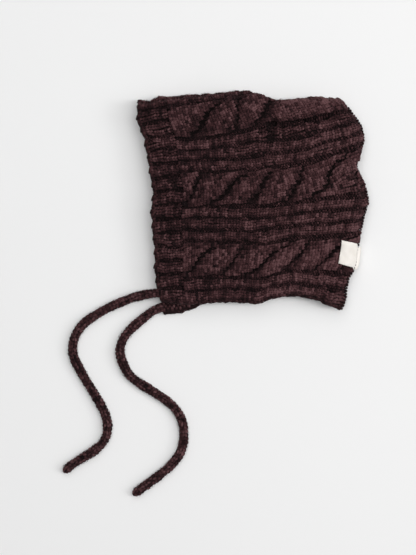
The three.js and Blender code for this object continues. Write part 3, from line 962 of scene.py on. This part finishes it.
HAIRS = 4200
TIE_HAIRS = 420
hair_back = rng.uniform(0.004, 0.99, HAIRS)
on_near = rng.uniform(size=HAIRS) < 0.75
hair_around = np.where(on_near, rng.uniform(0.0, 1.06, HAIRS), rng.uniform(1.06, 2.0, HAIRS))
hair_point, hair_up = place(hair_back, hair_around, np.full(HAIRS, -0.35))
clear_of_label = under_label(hair_back, hair_around) < 0.05
hairs(hair_point[clear_of_label], hair_up[clear_of_label], int(clear_of_label.sum()), 61)
for route, seed in ((NEAR_TIE, 62), (FAR_TIE, 63)):
    line = spline(route, 40)
    share = rng.uniform(0.01, 0.99, TIE_HAIRS)
    ahead = unit(at(line, np.clip(share + 0.003, 0, 1)) - at(line, np.clip(share - 0.003, 0, 1)))
    side = unit(np.cross(ahead, np.array([0.0, 0.0, 1.0])))
    turn = rng.uniform(-0.3, np.pi + 0.3, TIE_HAIRS)[:, None]
    n = side * np.cos(turn) + np.cross(side, ahead) * np.sin(turn)
    hairs(at(line, share) + SHIFT + n * 3.2, n, TIE_HAIRS, seed)
pieces.append(fuzz.build("loose_fibres"))

# ---- Label: a bare tape folded over the back seam ----
LABEL_FROM, LABEL_TO = 0.187, 0.289  # shares of the way up the back seam
LABEL_LEGS = [0.88, 0.892, 0.905, 0.918, 0.932, 0.945, 0.957]  # shares of the way back
LABEL_TURN = [78, 55, 28, 0, -28, -55, -78]  # degrees round the seam
LABEL_STEPS = 60
LABEL_ACROSS = 19
TAPE = 0.55  # thickness
LABEL_OVER = 1.25  # millimetres over the skin


def label():
    """The tape down one side, round the seam and back along the other. Returns its piece and its length."""
    across = np.linspace(LABEL_FROM, LABEL_TO, LABEL_ACROSS)
    legs = []
    for around in (across, 2 - across):
        leg = []
        for back in LABEL_LEGS:
            b = np.full(across.shape, back)
            leg.append(read(grid_point, b, around) + unit(read(grid_normal, b, around)) * LABEL_OVER)
        legs.append(leg)
    edge = seam_at(across)
    turn = [edge + np.array([2.9 * math.cos(a) - 0.6, 0, 1.9 * math.sin(a)]) for a in np.radians(LABEL_TURN)]
    rows = np.array(legs[0] + turn + legs[1][::-1])
    # even out the path, then thicken it
    even = np.linspace(0, 1, LABEL_STEPS)
    mid = np.array([at(spline(rows[:, k], 8), even) for k in range(LABEL_ACROSS)]).transpose(1, 0, 2)
    length = spline(rows[:, LABEL_ACROSS // 2], 8)[2]
    end_curl = 0.35 * np.exp(-np.arange(LABEL_STEPS) / 3.0)[:, None]
    side_curl = 0.25 * (np.abs(np.linspace(-1, 1, LABEL_ACROSS)) ** 6)[None, :]
    uneven = 0.08 * noise((LABEL_STEPS, LABEL_ACROSS), (9, 6), 3)
    n = unit(np.cross(np.gradient(mid, axis=1), np.gradient(mid, axis=0)))
    mid = mid + n * (end_curl + side_curl + uneven)[..., None]
    top, low = mid + n * TAPE / 2, mid - n * TAPE / 2
    low[..., 2] = np.maximum(low[..., 2], 0.12)
    top[..., 2] = np.maximum(top[..., 2], 0.12)
    return wall("label_tape", low, top, [0.5, 0.5]), length


label_tape, label_length = label()


# ---- Materials ----
def nodes_of(name):
    mat = bpy.data.materials.new(name)
    mat.use_nodes = True
    nt = mat.node_tree
    return mat, nt, nt.nodes["Principled BSDF"]


def rgb(r, g, b):
    """A colour of the screen, as the linear values that a node takes."""
    screen = (r / 255, g / 255, b / 255)
    return tuple(((c + 0.055) / 1.055) ** 2.4 if c > 0.04 else c / 12.92 for c in screen) + (1.0,)


def coordinates(nt):
    return nt.nodes.new("ShaderNodeTexCoord").outputs["Object"]


def texture(nt, kind, place_at, **values):
    node = nt.nodes.new("ShaderNodeTex" + kind)
    for name, value in values.items():
        node.inputs[name].default_value = value
    nt.links.new(place_at, node.inputs["Vector"])
    return node


def math_node(nt, operation, *values):
    """A math node over outputs of other nodes and plain numbers."""
    node = nt.nodes.new("ShaderNodeMath")
    node.operation = operation
    for k, value in enumerate(values):
        if isinstance(value, float):
            node.inputs[k].default_value = value
        else:
            nt.links.new(value, node.inputs[k])
    return node.outputs[0]


def ramp_node(nt, value, stops):
    """A colour ramp over a value: stops are (position, colour)."""
    node = nt.nodes.new("ShaderNodeValToRGB")
    elements = node.color_ramp.elements
    elements[0].position, elements[0].color = stops[0][0], stops[0][1]
    elements[1].position, elements[1].color = stops[-1][0], stops[-1][1]
    for position, colour in stops[1:-1]:
        elements.new(position).color = colour
    nt.links.new(value, node.inputs["Fac"])
    return node.outputs["Color"]


def bump(nt, shader, height, strength, distance):
    node = nt.nodes.new("ShaderNodeBump")
    node.inputs["Strength"].default_value = strength
    node.inputs["Distance"].default_value = distance
    nt.links.new(height, node.inputs["Height"])
    nt.links.new(node.outputs["Normal"], shader.inputs["Normal"])


def wool(name, stops):
    """Matt yarn: each loop's tone with a fine melange and broad patches, and fibres as bump."""
    mat, nt, shader = nodes_of(name)
    tone = nt.nodes.new("ShaderNodeAttribute")
    tone.attribute_name = "tone"
    place_at = coordinates(nt)
    melange = texture(nt, "Noise", place_at, Scale=620, Detail=4, Roughness=0.7).outputs["Fac"]
    patches = texture(nt, "Noise", place_at, Scale=85, Detail=2).outputs["Fac"]
    fine = math_node(nt, "MULTIPLY_ADD", melange, 1.5, -0.75)
    broad = math_node(nt, "MULTIPLY_ADD", patches, 0.8, -0.4)
    total = math_node(nt, "ADD", math_node(nt, "ADD", tone.outputs["Fac"], fine), broad)
    colour = ramp_node(nt, total, [(position, rgb(*screen)) for position, screen in stops])
    nt.links.new(colour, shader.inputs["Base Color"])
    shader.inputs["Roughness"].default_value = 0.92
    shader.inputs["Specular IOR Level"].default_value = 0.12
    shader.inputs["Sheen Weight"].default_value = 0.1
    shader.inputs["Sheen Roughness"].default_value = 0.5
    shader.inputs["Sheen Tint"].default_value = (0.5, 0.3, 0.32, 1)
    fibre = texture(nt, "Noise", place_at, Scale=1500, Detail=3).outputs["Fac"]
    bump(nt, shader, fibre, 0.35, 0.0004)
    return mat


def tape():
    """Cream tape with a fine plain weave."""
    mat, nt, shader = nodes_of("woven_tape")
    place_at = coordinates(nt)
    waves = []
    for direction in ("Y", "X"):
        wave = texture(nt, "Wave", place_at, Scale=900, Distortion=1.5, Detail=1)
        wave.bands_direction = direction
        waves.append(wave.outputs["Fac"])
    weave = math_node(nt, "MULTIPLY", *waves)
    stain = texture(nt, "Noise", place_at, Scale=150).outputs["Fac"]
    blend = math_node(nt, "MULTIPLY_ADD", weave, 0.3, stain)
    colour = ramp_node(nt, blend, [(0.3, rgb(232, 226, 218)), (0.8, rgb(245, 240, 234))])
    nt.links.new(colour, shader.inputs["Base Color"])
    shader.inputs["Roughness"].default_value = 0.7
    shader.inputs["Sheen Weight"].default_value = 0.1
    bump(nt, shader, weave, 0.25, 0.0002)
    return mat


def pale_floor():
    mat, nt, shader = nodes_of("pale_floor")
    grain = texture(nt, "Noise", coordinates(nt), Scale=3).outputs["Fac"]
    colour = ramp_node(nt, grain, [(0.0, (0.87, 0.87, 0.87, 1)), (1.0, (0.89, 0.89, 0.89, 1))])
    nt.links.new(colour, shader.inputs["Base Color"])
    shader.inputs["Roughness"].default_value = 0.9
    shader.inputs["Specular IOR Level"].default_value = 0.0
    return mat


AUBERGINE = [(0.0, (14, 6, 7)), (0.35, (42, 24, 26)), (0.6, (64, 39, 41)), (1.0, (100, 70, 72))]
# painted shade: ramp of the dark wool that the ground shows between the stitches
GROUND_SHADE = [(0.0, (8, 4, 4)), (0.5, (18, 10, 10)), (1.0, (34, 20, 21))]
yarn_mat = wool("aubergine_wool", AUBERGINE)
# painted shade between the stitches
shade_mat = wool("aubergine_wool_ground_shade", GROUND_SHADE)

for piece in pieces + [near_tie, far_tie]:
    piece.data.materials.append(yarn_mat)
for piece in (crown_ground, band_ground):
    piece.data.materials.append(shade_mat)
label_tape.data.materials.append(tape())

# ---- What each piece is ----
for piece in pieces + [crown_ground, band_ground, near_tie, far_tie]:
    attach(piece, "root")
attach(label_tape, "root")
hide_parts("crown")
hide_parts("face_band")
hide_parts("near_tie")
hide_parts("far_tie")
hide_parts("label")

# ---- Floor and light ----
FLOOR = 12000
floor_corners = [(-FLOOR, -FLOOR, 0), (FLOOR, -FLOOR, 0), (FLOOR, FLOOR, 0), (-FLOOR, FLOOR, 0)]
floor = mesh_object("floor", floor_corners, [(0, 1, 2, 3)])
floor.data.materials.append(pale_floor())


def softbox(name, centre, size, power):
    """A flat lamp that faces straight down."""
    light = bpy.data.lights.new(name, "AREA")
    light.shape = "RECTANGLE"
    light.size, light.size_y = size
    light.energy = power
    box = bpy.data.objects.new(name, light)
    box.location = centre
    bpy.context.scene.collection.objects.link(box)


softbox("right_softbox", (1.22, 0.0, 2.0), (3.8, 0.5), 41)
softbox("rear_softbox", (-0.1, 1.4, 2.0), (1.9, 2.4), 17.5)
softbox("far_right_softbox", (3.4, -0.4, 2.0), (2.4, 2.0), 38)

world = bpy.data.worlds.new("room")
bpy.context.scene.world = world
world.use_nodes = True
world.node_tree.nodes["Background"].inputs["Color"].default_value = (1, 1, 1, 1)
world.node_tree.nodes["Background"].inputs["Strength"].default_value = 0.18
bpy.context.scene.view_settings.view_transform = "Standard"
